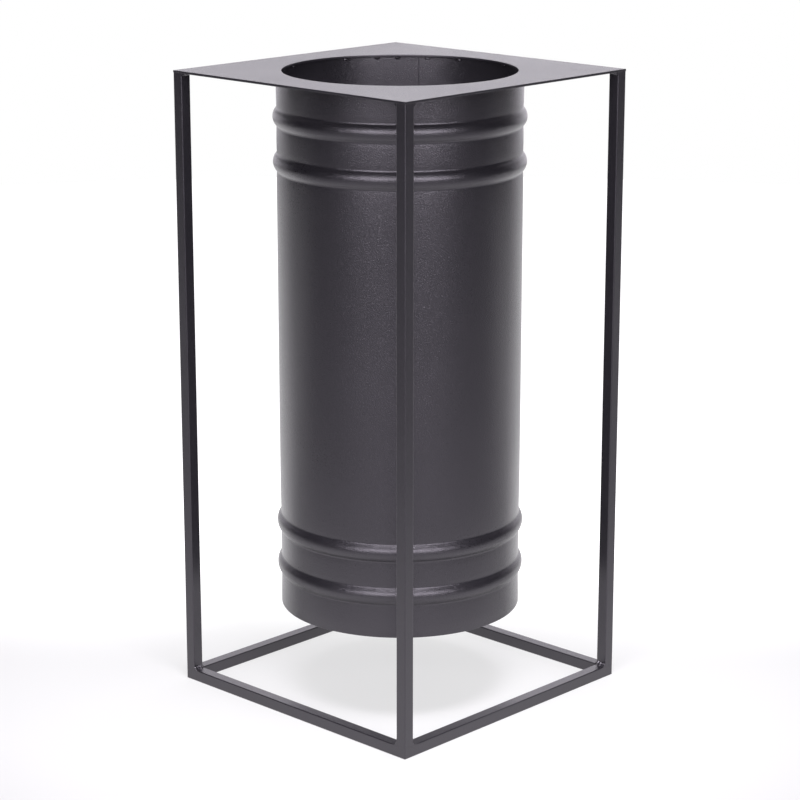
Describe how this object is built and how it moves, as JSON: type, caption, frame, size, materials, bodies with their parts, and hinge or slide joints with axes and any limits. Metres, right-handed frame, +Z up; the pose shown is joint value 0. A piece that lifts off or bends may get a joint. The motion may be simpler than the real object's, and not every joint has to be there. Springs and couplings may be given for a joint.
{
  "type": "umbrella stand",
  "caption": "Umbrella stand: a steel cylinder with rolled beads hung under a square plate with a round mouth, in a slim square-tube frame.",
  "frame": {"origin": "centre of the base, on the floor", "axes": "+Z up, +X and +Y square to the frame's sides; the front corner post is at +X -Y"},
  "size_m": [0.27, 0.27, 0.545],
  "materials": {
    "plate_coat": "satin charcoal powder coat with a fine grain",
    "frame_coat": "satin charcoal powder coat with a fine grain",
    "cylinder_coat": "satin charcoal powder coat with a fine grain",
    "weld_coat": "charcoal powder coat over weld metal, uneven"
  },
  "bodies": {
    "root": {"base_rail_back_left": "frame_coat", "base_rail_back_right": "frame_coat", "base_rail_front_left": "frame_coat", "base_rail_front_right": "frame_coat", "base_weld_back_x": "weld_coat", "base_weld_back_y": "weld_coat", "base_weld_front_x": "weld_coat", "base_weld_front_y": "weld_coat", "base_weld_left_x": "weld_coat", "base_weld_left_y": "weld_coat", "base_weld_right_x": "weld_coat", "base_weld_right_y": "weld_coat", "cylinder_base": "cylinder_coat", "cylinder_shell": "cylinder_coat", "plate_weld_back_x": "weld_coat", "plate_weld_back_y": "weld_coat", "plate_weld_front_x": "weld_coat", "plate_weld_front_y": "weld_coat", "plate_weld_left_x": "weld_coat", "plate_weld_left_y": "weld_coat", "plate_weld_right_x": "weld_coat", "plate_weld_right_y": "weld_coat", "post_back": "frame_coat", "post_front": "frame_coat", "post_left": "frame_coat", "post_right": "frame_coat", "rim_tack_01": "weld_coat", "rim_tack_02": "weld_coat", "rim_tack_03": "weld_coat", "rim_tack_04": "weld_coat", "rim_tack_05": "weld_coat", "rim_tack_06": "weld_coat", "rim_tack_07": "weld_coat", "rim_tack_08": "weld_coat", "rim_tack_09": "weld_coat", "rim_tack_10": "weld_coat", "rim_tack_11": "weld_coat", "rim_tack_12": "weld_coat", "top_plate": "plate_coat"}
  },
  "joints": []
}
